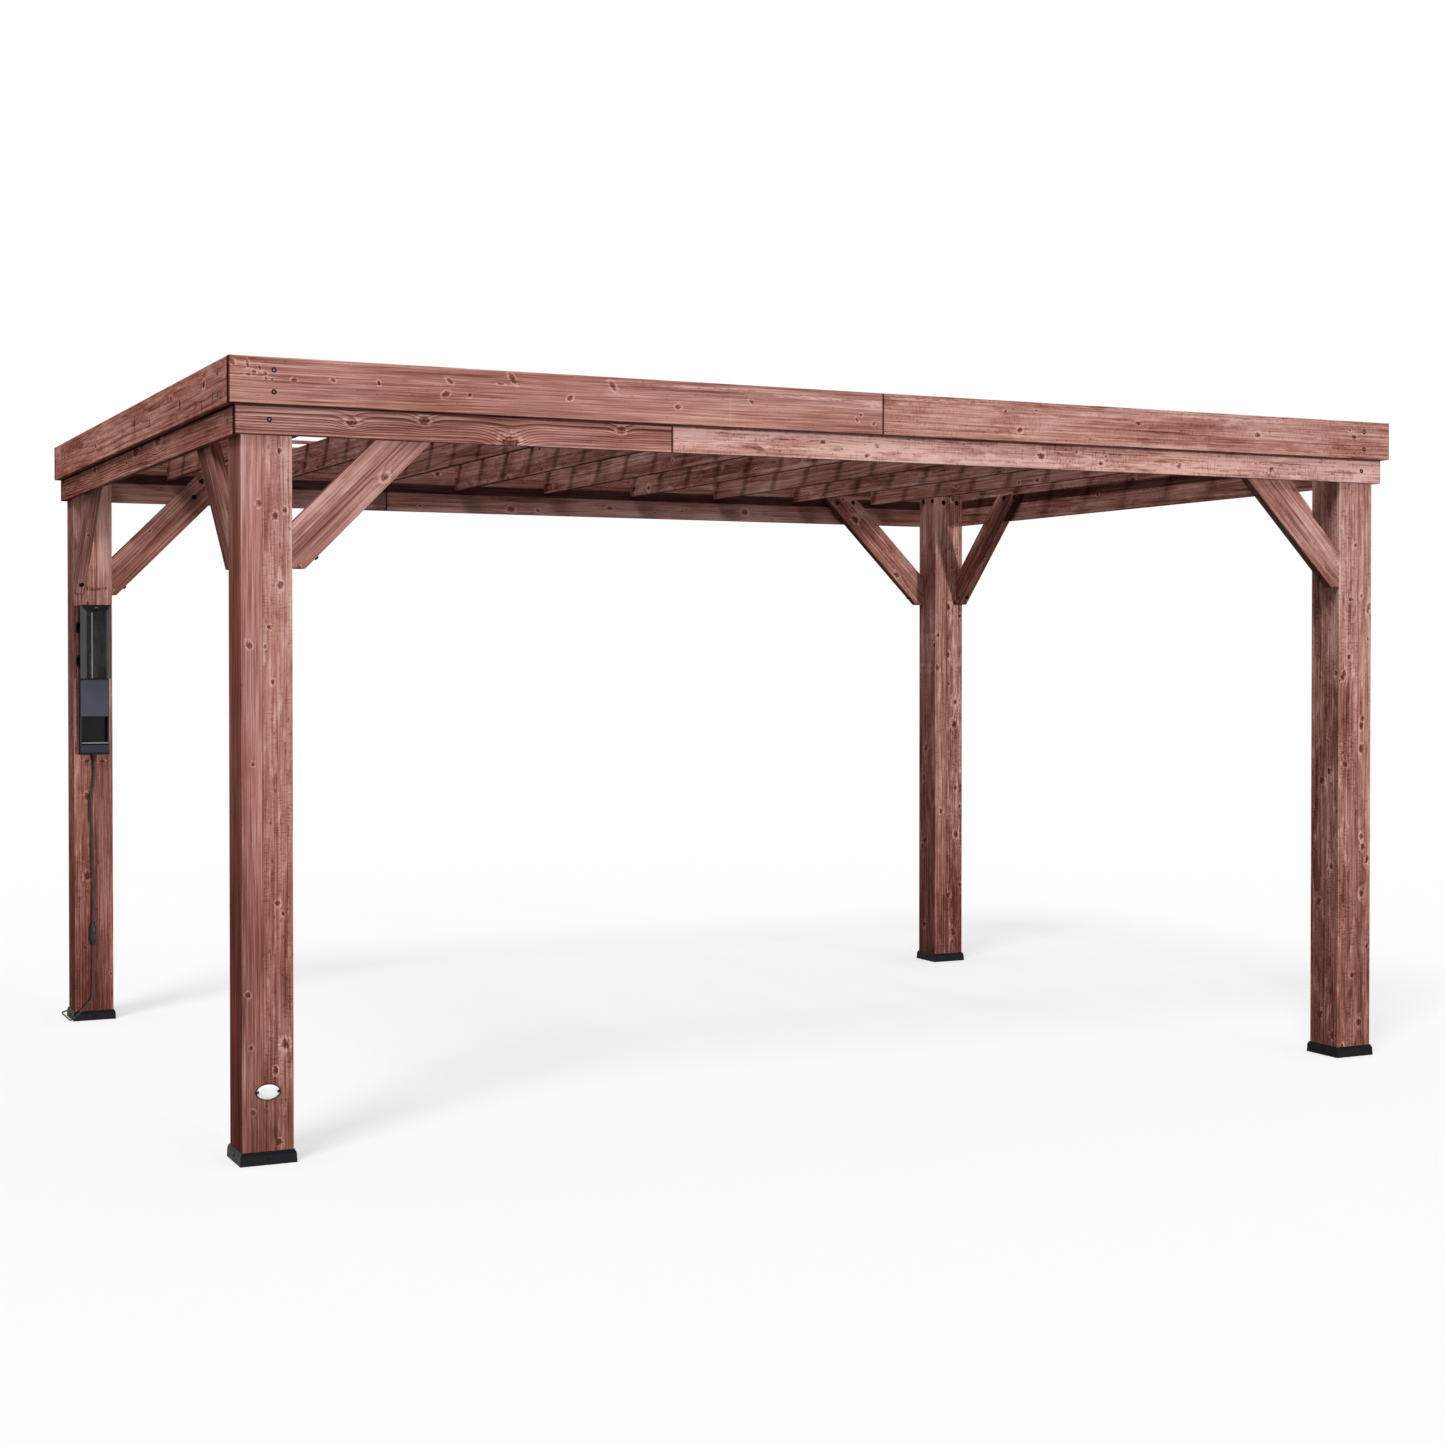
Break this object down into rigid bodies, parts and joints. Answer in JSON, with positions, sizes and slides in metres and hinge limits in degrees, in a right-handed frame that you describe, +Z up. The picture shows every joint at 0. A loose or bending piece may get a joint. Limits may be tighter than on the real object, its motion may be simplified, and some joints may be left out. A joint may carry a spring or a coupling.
{
  "type": "pergola",
  "caption": "Free-standing flat-roofed cedar pergola with square posts, knee braces, a boarded roof ring over rafters and slats, and a power unit on one post.",
  "frame": {"origin": "on the ground, at the centre of the roof ring's outline", "axes": "+X along the front from left to right, +Y from the front to the back, +Z up"},
  "size_m": [4.02, 3.0063, 2.19],
  "materials": {
    "cedar": "reddish-brown stained cedar, planed and part rough-sawn",
    "skirt_plastic": "moulded, fine texture",
    "unit_plastic": "moulded, fine texture",
    "plate_plastic": "satin moulded",
    "smoked_cover": "smoked clear polycarbonate",
    "cord_rubber": "satin sheath"
  },
  "bodies": {
    "frame": {"front_left_post": "cedar", "front_right_post": "cedar", "rear_left_post": "cedar", "rear_right_post": "cedar", "front_left_skirt": "skirt_plastic", "front_right_skirt": "skirt_plastic", "rear_left_skirt": "skirt_plastic", "rear_right_skirt": "skirt_plastic", "front_band_left": "cedar", "front_band_right": "cedar", "rear_band_left": "cedar", "rear_band_right": "cedar", "left_band": "cedar", "right_band": "cedar", "front_rim": "cedar", "rear_rim": "cedar", "left_rim": "cedar", "right_rim": "cedar", "front_fascia_left": "cedar", "front_fascia_right": "cedar", "rear_fascia_left": "cedar", "rear_fascia_right": "cedar", "left_fascia": "cedar", "right_fascia": "cedar", "rafter_1": "cedar", "rafter_2": "cedar", "rafter_3": "cedar", "rafter_4": "cedar", "rafter_6": "cedar", "rafter_7": "cedar", "rafter_8": "cedar", "rafter_9": "cedar", "middle_rafter_and_slats": "cedar", "front_left_long_brace": "cedar", "front_left_side_brace": "cedar", "front_right_long_brace": "cedar", "front_right_side_brace": "cedar", "rear_left_long_brace": "cedar", "rear_left_side_brace": "cedar", "rear_right_long_brace": "cedar", "rear_right_side_brace": "cedar", "power_box": "unit_plastic", "power_plate": "plate_plastic", "outlet_panel": "unit_plastic", "cord_gland": "cord_rubber", "cord_upper": "cord_rubber", "cord_connector": "cord_rubber", "cord_lower": "cord_rubber", "cord_coil": "cord_rubber", "cord_plug": "cord_rubber"},
    "cover": {"power_cover": "smoked_cover"}
  },
  "joints": [
    {"name": "cover_hinge", "type": "hinge", "parent": "frame", "child": "cover", "pos_m": [-1.96265, 1.2404, 1.4307], "axis": [0, 0, -1], "range_deg": [0, 110]}
  ]
}
